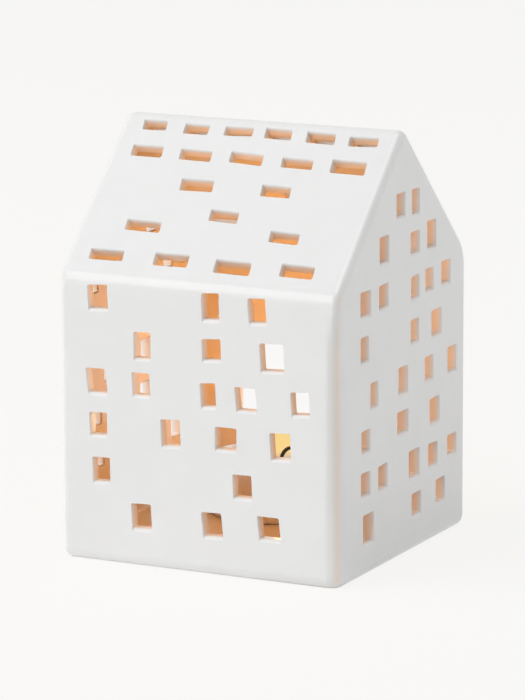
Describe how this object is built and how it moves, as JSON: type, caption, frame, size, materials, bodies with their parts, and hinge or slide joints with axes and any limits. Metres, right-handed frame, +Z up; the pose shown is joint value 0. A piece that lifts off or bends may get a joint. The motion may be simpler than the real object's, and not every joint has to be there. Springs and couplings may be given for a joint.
{
  "type": "tealight house",
  "caption": "House-shaped ceramic tealight lantern with pierced windows, a candle chamber and an arched rear doorway that takes a tealight in a metal cup.",
  "frame": {"origin": "middle of the house's footprint, on the surface that it stands on", "axes": "+X along the eaves and the ridge, +Y from the front wall to the doorway wall, +Z up"},
  "size_m": [0.085, 0.083, 0.1186],
  "materials": {
    "glazed_ceramic": "soft-gloss white glaze over a pale body, bare on the foot rim",
    "cup_aluminium": "bright pressed foil with fine upright pleats",
    "candle_wax": "translucent white wax with a glossy melt pool",
    "wick_cotton": "braided cotton, charred where it has burned",
    "sustainer_metal": "thin tinned sheet"
  },
  "bodies": {
    "root": {"house_shell": "glazed_ceramic"},
    "tealight": {"tealight_cup": "cup_aluminium", "tealight_wax": "candle_wax", "tealight_wick": "wick_cotton", "wick_sustainer": "sustainer_metal"}
  },
  "joints": [
    {"name": "tealight_slide", "type": "slide", "parent": "root", "child": "tealight", "axis": [0, 1, 0], "range_m": [0, 0.065]}
  ]
}
